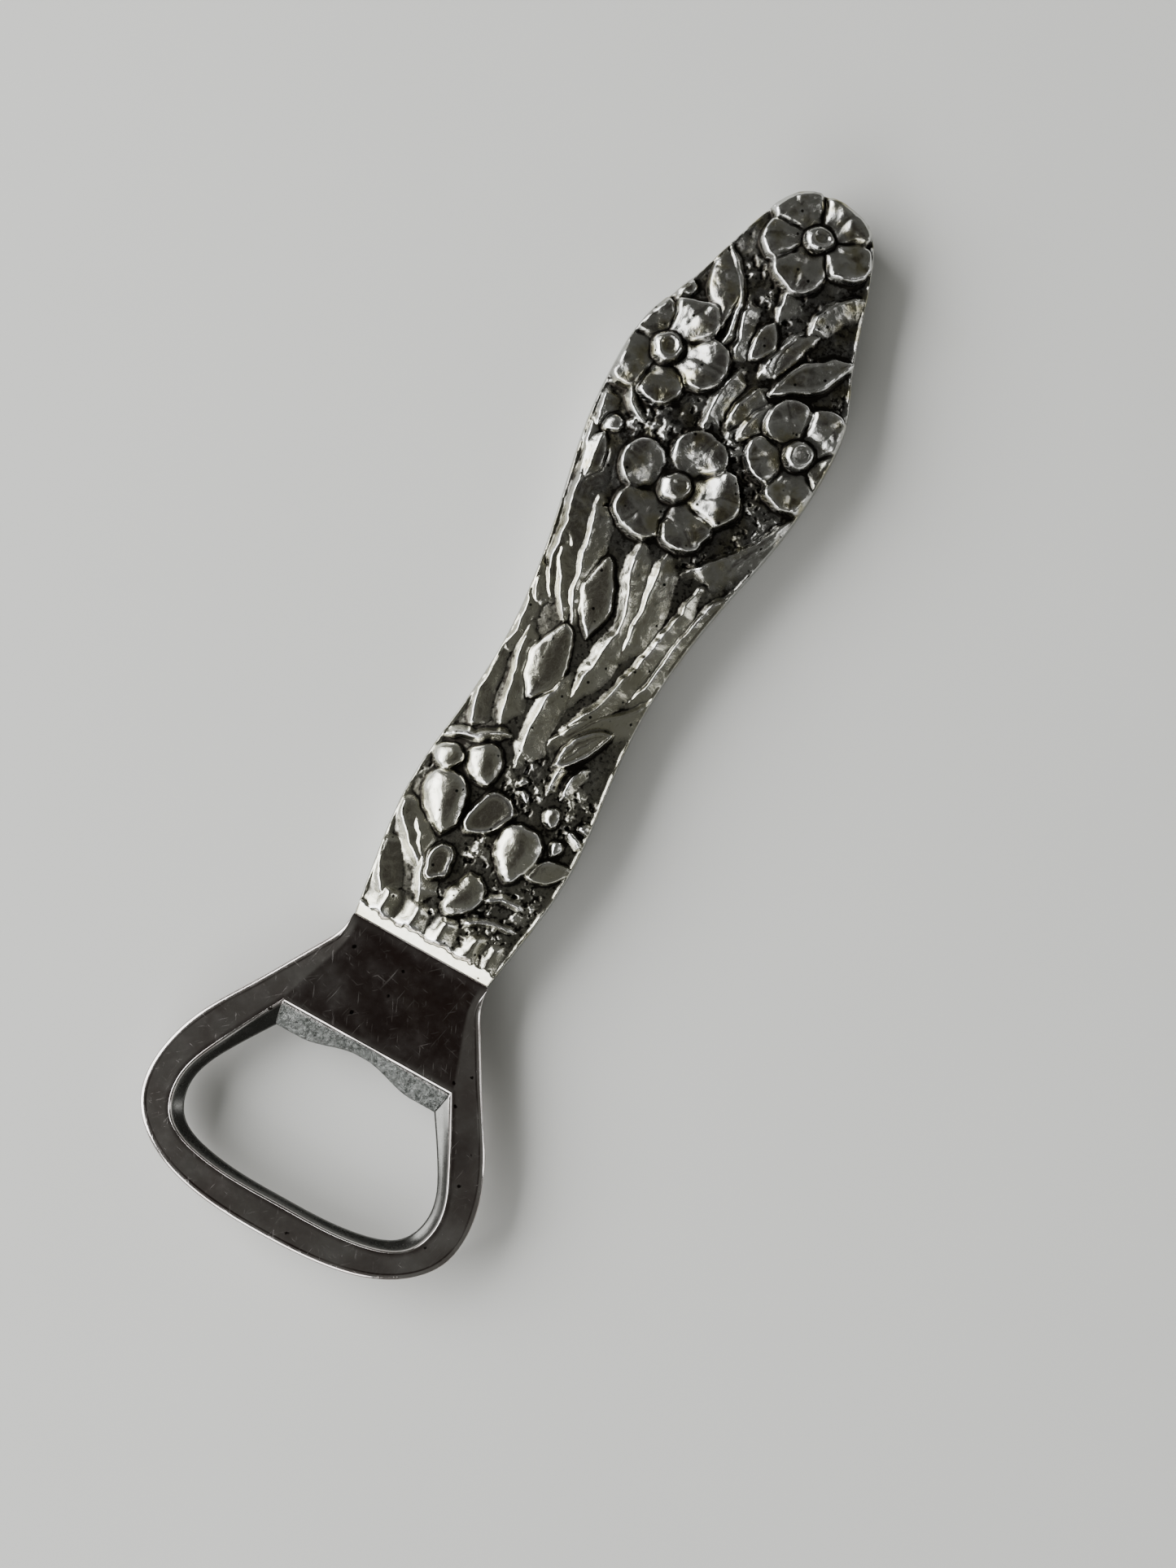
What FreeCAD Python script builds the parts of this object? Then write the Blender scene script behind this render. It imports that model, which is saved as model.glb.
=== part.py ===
import FreeCAD, Part

# Souvenir bottle opener: a polished steel head with a tang, fixed between the
# two cast halves of a handle. The back half is plain. The front half carries
# four flowers, their stems and leaves, and a cluster of buds in relief.
#
# Frame: the opener lies on the handle's flat back. +Y runs from the head to the
# handle's tip, +X is to the right seen from above, +Z is up.
# Units are millimetres and degrees.

import math
import os

Vector = FreeCAD.Vector

# --- driving dimensions -------------------------------------------------------
LENGTH = 131.2
TIP_Y = LENGTH / 2
HEAD_END_Y = -LENGTH / 2
SHOULDER_Y = -30.5

SEAM_Z = 3.6
HEAD_THICKNESS = 3.2
HEAD_BOTTOM_Z = SEAM_Z - HEAD_THICKNESS / 2
HEAD_TOP_Z = SEAM_Z + HEAD_THICKNESS / 2
RIM_Z = 5.3
GROUND_Z = 6.3
RELIEF_TOP_Z = 8.0

# Half-widths of the handle along Y, from the shoulder to the tip's round end.
GRIP_STATIONS = [
    (8.35, SHOULDER_Y),
    (9.3, -24.6),
    (10.25, -15.2),
    (9.45, -5.6),
    (8.85, 2.3),
    (9.5, 12.2),
    (11.0, 20.4),
    (13.0, 30.8),
    (13.45, 36.8),
    (12.8, 43.8),
    (10.9, 48.5),
    (9.1, 53.8),
    (7.0, 60.3),
]
TIP_SHOULDER = (4.6, 64.3)

# Head outline, right half, from the shoulder round to the bottom's middle.
HEAD_OUTLINE = [
    (8.35, SHOULDER_Y),
    (8.75, -32.6),
    (10.1, -35.2),
    (12.0, -38.4),
    (14.8, -43.0),
    (17.6, -47.7),
    (19.1, -51.9),
    (19.55, -55.4),
    (18.7, -59.0),
    (16.5, -61.7),
    (13.2, -63.7),
    (8.6, -65.0),
]
HEAD_EDGE_ROUND = 0.35

# Opening: its edge on both faces, and the smaller loop at mid-thickness.
LIP_HALF_WIDTH = 10.4
LIP_Y = -42.2
LIP_TOOTH_END = (9.8, -45.1)
LIP_TOOTH_MID_Y = -43.8
FACE_SIDE = [(14.5, -49.9), (16.2, -55.2)]
FACE_CORNER = [(15.0, -59.1), (10.4, -61.3)]
FACE_BOTTOM_Y = -61.9
MID_SIDE = [(12.9, -49.9), (14.8, -55.2)]
MID_CORNER = [(13.7, -58.4), (9.4, -60.4)]
MID_BOTTOM_Y = -61.0
TOOTH_HALF_THICKNESS = 0.5

# Tang and its fastening inside the handle.
TANG_WIDTH = 9.0
TANG_THICKNESS = 2.2
TANG_END_Y = -2.0
POCKET_GAP = 0.5
PIN_DIAMETER = 3.0
PIN_HEIGHT = 4.4
PIN_LOWER_Y = -23.0
PIN_UPPER_Y = -8.0

# Relief. A flower is its centre, petal circle, petal radius and the first
# petal's angle from +X.
FLOWERS = {
    "tip": ((-0.1, 60.0), 4.2, 2.7, 45),
    "upper_left": ((-8.4, 41.0), 4.1, 2.6, 0),
    "right": ((9.6, 37.4), 3.5, 2.2, 0),
    "centre": ((-0.4, 27.4), 4.6, 2.8, 8),
}
PETAL_TOP_Z = 7.8
BOSS_RADIUS = 1.9

# Buds, leaves and stems: two ends, a width and a top height.
BUDS = [
    ((-7.2, -12.0), (-4.6, -18.4), 4.6, 7.7),
    ((0.9, -11.8), (-2.4, -16.6), 4.4, 7.4),
    ((4.2, -13.2), (3.4, -20.0), 4.8, 7.7),
    ((-3.3, -19.2), (-2.8, -23.4), 3.0, 7.3),
    ((1.6, -21.2), (0.3, -26.0), 3.6, 7.5),
    ((-6.4, -9.4), (-1.6, -9.4), 4.4, 7.6),
    ((-9.0, -10.5), (-6.4, -10.5), 2.6, 7.2),
    ((6.4, -13.9), (8.8, -13.7), 2.0, 7.0),
]
LEAVES = [
    ((10.6, 49.8), (3.0, 41.8), 3.6, 7.0),
    ((-9.0, 54.4), (-4.4, 45.4), 3.4, 7.0),
    ((-3.2, 17.4), (-0.6, 7.6), 3.4, 7.1),
    ((-4.2, 7.6), (-3.6, -0.4), 3.6, 7.1),
    ((-10.6, 22.0), (-7.0, 8.6), 2.8, 6.9),
    ((-7.0, 21.0), (-3.4, 9.0), 2.4, 6.9),
    ((11.6, 30.0), (5.4, 19.0), 3.4, 6.8),
    ((7.8, 18.0), (2.0, -4.0), 3.2, 7.0),
    ((6.8, 0.4), (2.8, -6.0), 3.2, 7.0),
    ((-7.6, 6.2), (-5.0, -6.4), 2.6, 6.9),
    ((-10.0, -16.6), (-4.6, -26.0), 2.6, 7.1),
    ((5.2, -18.8), (8.6, -15.8), 2.2, 6.9),
]
STEMS = [
    ((-8.2, 55.2), (-3.4, 43.6), 1.4, 7.2),
    ((3.2, 50.0), (1.4, 43.4), 1.4, 7.2),
    ((-0.4, 43.2), (-1.2, 35.0), 1.3, 7.2),
    ((2.6, 42.4), (1.0, 36.6), 1.3, 7.1),
    ((-0.8, 21.0), (1.9, 10.0), 1.4, 7.3),
    ((2.3, 20.4), (3.3, 8.0), 1.3, 7.2),
    ((1.8, 11.0), (0.8, 1.0), 1.4, 7.3),
    ((-1.0, 3.4), (-1.1, -7.4), 1.3, 7.3),
    ((-9.6, -8.3), (-2.8, -5.9), 1.4, 7.0),
]
LEAF_BASES_X = [-5.9, -2.5, 1.1, 4.6]
LEAF_BASE_Y = -27.7


# --- helpers ------------------------------------------------------------------
def at(point, z):
    return Vector(point[0], point[1], z)


def mirrored(points):
    """The same points on the left side, in the opposite order."""
    return [(-x, y) for x, y in reversed(points)]


def line(a, b):
    return Part.makeLine(a, b)


def arc(a, b, c):
    return Part.Arc(a, b, c).toShape()


def spline(points, z):
    curve = Part.BSplineCurve()
    curve.interpolate([at(p, z) for p in points])
    return curve.toShape()


def grip_wire(z, inset=0.0):
    """Outline of the handle at height z, drawn in by inset except at the shoulder."""
    widest = max(x for x, y in GRIP_STATIONS)
    narrow = 1 - inset / widest
    tip = TIP_Y - inset
    stretch = (tip - SHOULDER_Y) / (TIP_Y - SHOULDER_Y)
    right = [(x * narrow, SHOULDER_Y + (y - SHOULDER_Y) * stretch) for x, y in GRIP_STATIONS]
    corner = (TIP_SHOULDER[0] * narrow, SHOULDER_Y + (TIP_SHOULDER[1] - SHOULDER_Y) * stretch)
    left = mirrored(right)
    return Part.Wire([
        spline(right, z),
        spline([right[-1], corner, (0, tip), (-corner[0], corner[1]), left[0]], z),
        spline(left, z),
        line(at(left[-1], z), at(right[0], z)),
    ])


def loft(wires):
    return Part.makeLoft(wires, True, True)


def leaf_plate(start, end, width, top):
    """A raised leaf shape: two arcs between its ends, with a flat top."""
    length = math.hypot(end[0] - start[0], end[1] - start[1])
    across = Vector(start[1] - end[1], end[0] - start[0], 0) * (width / 2 / length)
    low = SEAM_Z + 0.6
    first = at(start, low)
    last = at(end, low)
    middle = (first + last) * 0.5
    edge = Part.Wire([arc(first, middle + across, last), arc(last, middle - across, first)])
    return Part.Face(edge).extrude(Vector(0, 0, top - low))


def dome(centre, radius, top, height):
    """A spherical cap of the given base radius that rises height to top."""
    ball = (radius ** 2 + height ** 2) / (2 * height)
    return Part.makeSphere(ball, at(centre, top - ball))


def box_between(x0, x1, y0, y1, z0, z1):
    return Part.makeBox(x1 - x0, y1 - y0, z1 - z0, Vector(x0, y0, z0))


# --- opener head --------------------------------------------------------------
def head_plate():
    """The head's outline, extruded to its thickness with rounded edges."""
    points = HEAD_OUTLINE + [(0, HEAD_END_Y)] + mirrored(HEAD_OUTLINE)
    z = HEAD_BOTTOM_Z
    outline = Part.Wire([spline(points, z), line(at(points[-1], z), at(points[0], z))])
    plate = Part.Face(outline).extrude(Vector(0, 0, HEAD_THICKNESS))
    rims = [e for e in plate.Edges if is_outer_rim(e)]
    return plate.makeFillet(HEAD_EDGE_ROUND, rims)


def is_outer_rim(edge):
    """True for the top and bottom edges, except those at the shoulder."""
    box = edge.BoundBox
    flat = box.ZLength < 0.01
    at_shoulder = box.YLength < 0.01 and abs(box.YMax - SHOULDER_Y) < 0.01
    return flat and not at_shoulder


def opening_wire(z, lip_end, lip_mid_y, side, corner, bottom_y):
    """The D-shaped opening: a lip edge, two flared sides and a round bottom."""
    left_side = mirrored(side)
    left_corner = mirrored(corner)
    left_end = (-lip_end[0], lip_end[1])
    return Part.Wire([
        arc(at(left_end, z), at((0, lip_mid_y), z), at(lip_end, z)),
        arc(at(lip_end, z), at(side[0], z), at(side[1], z)),
        arc(at(side[1], z), at(corner[0], z), at(corner[1], z)),
        arc(at(corner[1], z), at((0, bottom_y), z), at(left_corner[0], z)),
        arc(at(left_corner[0], z), at(left_corner[1], z), at(left_side[0], z)),
        arc(at(left_side[0], z), at(left_side[1], z), at(left_end, z)),
    ])


def opening_cut():
    """The opening, narrowest at mid-thickness, with the lip as a thin tooth there."""
    face_end = (LIP_HALF_WIDTH, LIP_Y - 0.02)
    face = (face_end, LIP_Y, FACE_SIDE, FACE_CORNER, FACE_BOTTOM_Y)
    middle = (LIP_TOOTH_END, LIP_TOOTH_MID_Y, MID_SIDE, MID_CORNER, MID_BOTTOM_Y)
    low = SEAM_Z - TOOTH_HALF_THICKNESS
    high = SEAM_Z + TOOTH_HALF_THICKNESS
    upper = loft([opening_wire(high, *middle), opening_wire(HEAD_TOP_Z, *face)])
    centre = loft([opening_wire(low, *middle), opening_wire(high, *middle)])
    lower = loft([opening_wire(HEAD_BOTTOM_Z, *face), opening_wire(low, *middle)])
    return upper.fuse([centre, lower])


def tang():
    """The narrow end of the plate that reaches into the handle."""
    half = TANG_WIDTH / 2
    thick = TANG_THICKNESS / 2
    return box_between(-half, half, SHOULDER_Y - 0.5, TANG_END_Y, SEAM_Z - thick, SEAM_Z + thick)


def opener_head():
    head = head_plate().cut(opening_cut())
    return head.fuse(tang()).cut(pin(PIN_LOWER_Y)).cut(pin(PIN_UPPER_Y)).removeSplitter()


# --- fastening inside the handle ----------------------------------------------
def pin(y):
    foot = Vector(0, y, SEAM_Z - PIN_HEIGHT / 2)
    return Part.makeCylinder(PIN_DIAMETER / 2, PIN_HEIGHT, foot)


def pocket():
    """The space in both halves that holds the tang and its bedding."""
    half = TANG_WIDTH / 2 + POCKET_GAP
    thick = TANG_THICKNESS / 2 + POCKET_GAP
    end = TANG_END_Y + POCKET_GAP
    return box_between(-half, half, SHOULDER_Y, end, SEAM_Z - thick, SEAM_Z + thick)


def tang_bedding():
    return pocket().cut(tang()).cut(pin(PIN_LOWER_Y)).cut(pin(PIN_UPPER_Y))


# --- handle -------------------------------------------------------------------
def hollow_for_tang(half):
    return half.cut(pocket()).cut(pin(PIN_LOWER_Y)).cut(pin(PIN_UPPER_Y))


def handle_back():
    """Plain rear half: flat back, rolled lower edge, straight side to the seam."""
    shell = loft([grip_wire(0.0, 1.5), grip_wire(0.35, 0.8), grip_wire(1.1, 0.25), grip_wire(SEAM_Z)])
    return hollow_for_tang(shell)


def front_blank():
    """Front half without relief: a thin rim, then a crowned ground."""
    return loft([
        grip_wire(SEAM_Z),
        grip_wire(RIM_Z, 0.2),
        grip_wire(RIM_Z + 0.55, 1.0),
        grip_wire(GROUND_Z - 0.15, 2.6),
        grip_wire(GROUND_Z, 4.6),
    ])


def flower(centre, circle, petal_radius, first_angle):
    """Five domed petals round a boss."""
    parts = [dome(centre, BOSS_RADIUS, RELIEF_TOP_Z, 1.5)]
    for number in range(5):
        angle = math.radians(first_angle + 72 * number)
        petal = (centre[0] + circle * math.cos(angle), centre[1] + circle * math.sin(angle))
        parts.append(dome(petal, petal_radius, PETAL_TOP_Z, 1.7))
    return parts


def relief():
    """All the flowers, buds, leaves and stems as overlapping solids."""
    parts = []
    for centre, circle, petal_radius, first_angle in FLOWERS.values():
        parts += flower(centre, circle, petal_radius, first_angle)
    for start, end, width, top in BUDS + LEAVES + STEMS:
        parts.append(leaf_plate(start, end, width, top))
    for x in LEAF_BASES_X:
        parts.append(leaf_plate((x, LEAF_BASE_Y + 2.2), (x + 0.2, LEAF_BASE_Y - 1.8), 2.2, 6.9))
    return parts


def relief_limit():
    """Keeps the relief inside the handle's outline and above its seam."""
    return loft([grip_wire(SEAM_Z + 0.4, 0.06), grip_wire(RIM_Z, 0.25), grip_wire(RELIEF_TOP_Z + 1, 2.6)])


def shoulder_ramp():
    """The space cleared above the smooth ramp at the foot of the handle."""
    foot_z = HEAD_TOP_Z + 0.1
    profile = Part.makePolygon([
        Vector(0, SHOULDER_Y - 1, foot_z - 0.8),
        Vector(0, SHOULDER_Y + 1.5, foot_z + 1.2),
        Vector(0, SHOULDER_Y + 2.3, RELIEF_TOP_Z + 1),
        Vector(0, SHOULDER_Y - 1, RELIEF_TOP_Z + 1),
        Vector(0, SHOULDER_Y - 1, foot_z - 0.8),
    ])
    wedge = Part.Face(profile).extrude(Vector(40, 0, 0))
    wedge.translate(Vector(-20, 0, 0))
    return wedge


def handle_front():
    """Relief half of the handle."""
    parts = relief()
    raised = parts[0].fuse(parts[1:]).common(relief_limit())
    shell = front_blank().fuse(raised).cut(shoulder_ramp())
    return hollow_for_tang(shell)


# --- export -------------------------------------------------------------------
def main_solid(shape):
    """The one solid of a shape."""
    solid = max(shape.Solids, key=lambda s: s.Volume)
    return solid


def export(name, shape):
    solid = main_solid(shape)
    if not solid.isValid():
        raise RuntimeError(name + " is not a valid solid")
    solid.exportStep(os.path.join("parts", name + ".step"))


os.makedirs("parts", exist_ok=True)
export("opener_head", opener_head())
export("handle_back", handle_back())
export("handle_front", handle_front())
export("tang_bedding", tang_bedding())
export("tang_pin_lower", pin(PIN_LOWER_Y))
export("tang_pin_upper", pin(PIN_UPPER_Y))
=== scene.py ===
import math

import bpy
import numpy as np
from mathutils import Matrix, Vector


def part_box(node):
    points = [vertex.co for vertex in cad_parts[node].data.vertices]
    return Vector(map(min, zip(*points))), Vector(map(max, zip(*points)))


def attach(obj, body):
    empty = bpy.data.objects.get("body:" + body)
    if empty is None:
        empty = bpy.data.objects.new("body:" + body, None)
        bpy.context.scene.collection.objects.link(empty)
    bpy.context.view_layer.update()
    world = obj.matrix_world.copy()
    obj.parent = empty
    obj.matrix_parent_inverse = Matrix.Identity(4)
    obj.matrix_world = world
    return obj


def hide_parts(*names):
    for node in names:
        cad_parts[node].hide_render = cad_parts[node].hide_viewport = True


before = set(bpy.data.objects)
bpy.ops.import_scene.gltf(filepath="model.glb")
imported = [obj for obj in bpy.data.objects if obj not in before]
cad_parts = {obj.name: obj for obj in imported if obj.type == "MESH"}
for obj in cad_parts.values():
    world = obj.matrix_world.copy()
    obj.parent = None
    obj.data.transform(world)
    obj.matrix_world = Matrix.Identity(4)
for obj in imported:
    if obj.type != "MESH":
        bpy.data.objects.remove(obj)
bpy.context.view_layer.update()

# Souvenir bottle opener: polished head, relief handle front, plain handle back.
# Shapes are worked out in millimetres in the part's own frame and become metres
# only when a mesh is made. +Y is towards the handle's tip, -Y the head, +Z up.

MM = 0.001
front_low, front_high = [np.array(c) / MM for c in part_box("handle_front")]
head_low, head_high = [np.array(c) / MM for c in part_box("opener_head")]

SHOULDER_Y = front_low[1]
TIP_Y = front_high[1]
SEAM_Z = front_low[2]
RELIEF_TOP_Z = front_high[2]
HEAD_END_Y = head_low[1]
HEAD_LOW_Z = head_low[2]
HEAD_TOP_Z = head_high[2]
HEAD_MID_Z = (HEAD_LOW_Z + HEAD_TOP_Z) / 2
# The visible outlines stay this far inside the boxes of their CAD nodes.
SKIN_GAP = 0.02

# Height of the relief's ground at the handle's rim and along its middle.
RIM_Z = 5.25
GROUND_Z = 6.25

# --- outlines -----------------------------------------------------------------
# Right half of the handle's outline, from the shoulder to the tip.
GRIP_STATIONS = [
    (8.35, SHOULDER_Y), (9.3, -24.6), (10.25, -15.2), (9.45, -5.6), (8.85, 2.3),
    (9.5, 12.2), (11.0, 20.4), (13.0, 30.8), (13.4, 36.8), (12.8, 43.8),
    (10.9, 48.5), (9.1, 53.8), (7.0, 60.3), (4.6, 64.3),
]
# The handle's side ends here and its rounded tip begins.
TIP_CORNER = GRIP_STATIONS[-2]

# Right half of the neck and ring, from the shoulder round to the end.
HEAD_OUTLINE = [
    (8.35, SHOULDER_Y), (8.75, -32.6), (10.1, -35.2), (12.0, -38.4), (14.8, -43.0),
    (17.6, -47.7), (19.1, -51.9), (19.5, -55.4), (18.7, -59.0), (16.5, -61.7),
    (13.2, -63.7), (8.6, -65.0),
]
RING_CENTRE = (0.0, -53.0)

# The opening's right half where it meets the face, and at mid-thickness. The lip
# is straight on the face, and its tooth bows back in the middle.
LIP_END = (10.4, -42.2)
FACE_LOOP = [(14.5, -49.9), (16.2, -55.2), (15.0, -59.1), (10.4, -61.3), (0.0, -61.9)]
TOOTH_END = (9.8, -45.1)
TOOTH_MID_Y = -43.8
# Half the flat in the tooth's middle, and the run of its slope on either side.
TOOTH_FLAT = 0.5
TOOTH_RUN = 6.4
MIDDLE_LOOP = [(12.9, -49.9), (14.8, -55.2), (13.7, -58.4), (9.4, -60.4), (0.0, -61.0)]
# Past the lip's ends, the two loops fall back into line over this angle, in radians.
LEAN_FADE = 0.9

# The face's bevelled margin: width and slope against distance below the origin.
BEVEL_Y = [31.4, 36.2, 42.0, 48.0]
BEVEL_WIDTH = [0.9, 2.0, 3.2, 3.7]
BEVEL_SLOPE = [0.14, 0.13, 0.10, 0.08]
# The rolled outer edge of the head, in from the side and down from the face.
EDGE_WIDE = 0.7
EDGE_DEEP = 0.34
# The outer wall's rings above mid-thickness, its lean per mm, and its lean at the top.
OUTER_WALL_HEIGHTS = (0.0, 0.45, 0.8)
WALL_DRAFT = 0.07
WALL_LEAN = 0.06
# The roll and the wall's lean fade out over this distance from the shoulder.
SHOULDER_FADE = 3.0
# Height of the face's faint waves, and the number of steps across it.
FACE_WAVE = 0.035
FACE_STEPS = 40
# The opening's eased edge: distance in from the face, and drop on the ring and on the lip.
EASED_EDGE = [(0.04, 0.01, 0.02), (0.17, 0.08, 0.10), (0.27, 0.22, 0.17)]
# The opening's wall below it: share of the way from the face's loop to the middle one,
# and drop below the face.
RING_WALL = [(0.24, 0.36), (0.45, 0.70), (0.68, 0.98), (0.88, 1.18), (1.0, 1.35), (1.0, 1.6)]
LIP_WALL = [(0.24, 0.28), (0.42, 0.48), (0.68, 0.76), (0.9, 0.98), (1.0, 1.15), (1.0, 1.6)]


# --- small maths --------------------------------------------------------------
# Points along the finished outlines of the grip, the head and the opening.
GRIP_STEPS = 1600
HEAD_STEPS = 2400
OPENING_STEPS = 1400
# The noise table's width in cells, and where the part's origin lies in it.
NOISE_CELLS = 256
NOISE_OFFSET = 400


def smooth(x):
    """0 below 0, 1 above 1, an S between."""
    x = np.clip(x, 0, 1)
    return x * x * (3 - 2 * x)


def spline_through(points, count):
    """Natural cubic spline through the points, at count even steps of chord length."""
    p = np.array(points, float)
    t = np.concatenate([[0], np.cumsum(np.hypot(*np.diff(p, axis=0).T))])
    h = np.diff(t)
    n = len(p)
    a = np.eye(n)
    b = np.zeros((n, 2))
    for i in range(1, n - 1):
        a[i, i - 1:i + 2] = h[i - 1], 2 * (h[i - 1] + h[i]), h[i]
        b[i] = 6 * ((p[i + 1] - p[i]) / h[i] - (p[i] - p[i - 1]) / h[i - 1])
    m = np.linalg.solve(a, b)
    s = np.linspace(0, t[-1], count)
    k = np.clip(np.searchsorted(t, s, side="right") - 1, 0, n - 2)
    u = ((s - t[k]) / h[k])[:, None]
    w = 1 - u
    bend = (w ** 3 - w) * m[k] + (u ** 3 - u) * m[k + 1]
    return w * p[k] + u * p[k + 1] + bend * (h[k][:, None] ** 2) / 6


def path_distance(x, y, path):
    """Distance to a path, the side (positive on the right hand along it), and how far along, 0 to 1."""
    best = np.full(x.shape, 1e9)
    side = np.zeros(x.shape)
    along = np.zeros(x.shape)
    seg = np.diff(path, axis=0)
    length = np.hypot(*seg.T)
    run = np.concatenate([[0], np.cumsum(length)])
    for (px, py), (dx, dy), size, start in zip(path[:-1], seg, length, run):
        t = np.clip(((x - px) * dx + (y - py) * dy) / size ** 2, 0, 1)
        ex = x - px - t * dx
        ey = y - py - t * dy
        d = np.hypot(ex, ey)
        near = d < best
        best[near] = d[near]
        side[near] = np.sign(ex * dy - ey * dx)[near]
        along[near] = ((start + t * size) / run[-1])[near]
    return best, side, along


def lattice_noise(x, y, size, seed):
    """Smooth value noise from -1 to 1 with cells of the given size in mm."""
    table = np.random.default_rng(seed).uniform(-1, 1, (NOISE_CELLS, NOISE_CELLS))
    gx = x / size + NOISE_OFFSET
    gy = y / size + NOISE_OFFSET
    ix = np.floor(gx).astype(int)
    iy = np.floor(gy).astype(int)
    fx = smooth(gx - ix)
    fy = smooth(gy - iy)
    corner = [
        table[(ix + i) % NOISE_CELLS, (iy + j) % NOISE_CELLS] for i in (0, 1) for j in (0, 1)
    ]
    low = corner[0] * (1 - fy) + corner[1] * fy
    high = corner[2] * (1 - fy) + corner[3] * fy
    return low * (1 - fx) + high * fx


def rough_noise(x, y, size, seed, octaves=3):
    """Lattice noise with finer and fainter copies of itself added."""
    total = np.zeros(x.shape)
    for k in range(octaves):
        total += lattice_noise(x, y, size / 2 ** k, seed + k) / 2 ** k
    return total


# --- handle surface grid --------------------------------------------------------
# Higher powers keep the grid's rows straight until nearer the tip.
TIP_BULGE_POWER = 6


def grip_outline():
    """The handle's outline from the right shoulder over the tip to the left shoulder."""
    left = [(-x, y) for x, y in reversed(GRIP_STATIONS)]
    loop = spline_through(GRIP_STATIONS + [(0.0, TIP_Y - SKIN_GAP)] + left, GRIP_STEPS)
    widest = np.abs(loop[:, 0]).max()
    loop[:, 0] *= (front_high[0] - SKIN_GAP) / widest
    return loop


GRIP_LOOP = grip_outline()


def grip_patch(across, along, inset):
    """Grid of points over the handle's outline, drawn in by inset except at the shoulder."""
    narrow = 1 - inset / front_high[0]
    stretch = 1 - inset / (TIP_Y - SHOULDER_Y)
    half = GRIP_LOOP[: len(GRIP_LOOP) // 2]
    side = half[half[:, 1] <= TIP_CORNER[1]]
    tip = half[half[:, 1] > TIP_CORNER[1]]
    tip = np.vstack([side[-1], tip, [0, TIP_Y - SKIN_GAP]])
    run = np.concatenate([[0], np.cumsum(np.hypot(*np.diff(tip, axis=0).T))])
    u = np.linspace(-1, 1, across + 1)
    tip_x = np.sign(u) * np.interp(1 - np.abs(u), run / run[-1], tip[:, 0])
    tip_y = np.interp(1 - np.abs(u), run / run[-1], tip[:, 1])
    v = np.linspace(0, 1, along + 1)
    side_y = SHOULDER_Y + v * (side[-1, 1] - SHOULDER_Y)
    side_x = np.interp(side_y, side[:, 1], side[:, 0])
    bulge = (v ** TIP_BULGE_POWER)[:, None]
    x = u[None, :] * side_x[:, None] * (1 - bulge)
    x = x + bulge * tip_x[None, :] * side_x[:, None] / side[-1, 0]
    y = side_y[:, None] + bulge * (tip_y[None, :] - side[-1, 1])
    return x * narrow, SHOULDER_Y + (y - SHOULDER_Y) * stretch


def edge_loop(grid):
    """A grid's border in order: up the right side, over the tip, down the left, along the shoulder."""
    right = grid[:-1, -1]
    top = grid[-1, :0:-1]
    left = grid[:0:-1, 0]
    foot = grid[0, :-1]
    return np.concatenate([right, top, left, foot])


# --- relief ---------------------------------------------------------------------
# Each flower: centre, radius of the circle of petal centres, petal half-length and
# half-width, petal angles, boss radius.
FLOWERS = [
    ((-0.1, 60.2), 4.0, 2.9, 3.1, (150, 62, 352, 268, 208), 1.75),
    ((-8.9, 41.0), 4.1, 2.8, 3.0, (74, 2, 286, 226, 138), 1.75),
    ((9.7, 37.4), 3.9, 2.4, 3.0, (132, 65, 0, 288, 216), 1.6),
    ((-0.5, 27.5), 4.4, 2.9, 3.2, (80, 14, 314, 242, 172), 1.7),
]
# Relative size of a flower's petals, in the order of their angles.
PETAL_SIZES = (1.0, 1.1, 0.94, 1.06, 0.9)
# Each bud: centre, half-length, half-width, lean from +Y, height, cupped or not.
BUDS = [
    ((-5.9, -15.0), 3.8, 2.4, -28, 1.35, False),
    ((-0.9, -14.2), 3.2, 2.0, 32, 1.05, True),
    ((3.9, -16.6), 3.4, 2.5, -8, 1.4, False),
    ((-3.0, -21.2), 2.1, 1.45, 6, 0.95, True),
    ((0.9, -23.4), 2.9, 1.8, 20, 1.15, False),
    ((-3.9, -9.5), 2.4, 2.2, -30, 1.2, False),
    ((-7.9, -10.5), 1.6, 1.5, 0, 1.1, False),
    ((7.5, -13.9), 0.9, 0.9, 0, 0.9, False),
    ((0.7, -9.0), 0.7, 0.6, 30, 0.7, False),
    ((1.5, -10.4), 0.8, 0.5, -40, 0.8, False),
    ((5.1, -11.0), 1.2, 1.0, -30, 0.85, False),
    ((9.0, -10.4), 1.0, 0.8, 50, 0.8, False),
    ((7.6, 40.2), 0.75, 0.7, 0, 1.0, False),
    ((-10.3, 48.2), 1.3, 1.1, 10, 1.0, False),
    ((-10.2, 30.6), 1.3, 1.0, 20, 0.7, False),
]
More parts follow.
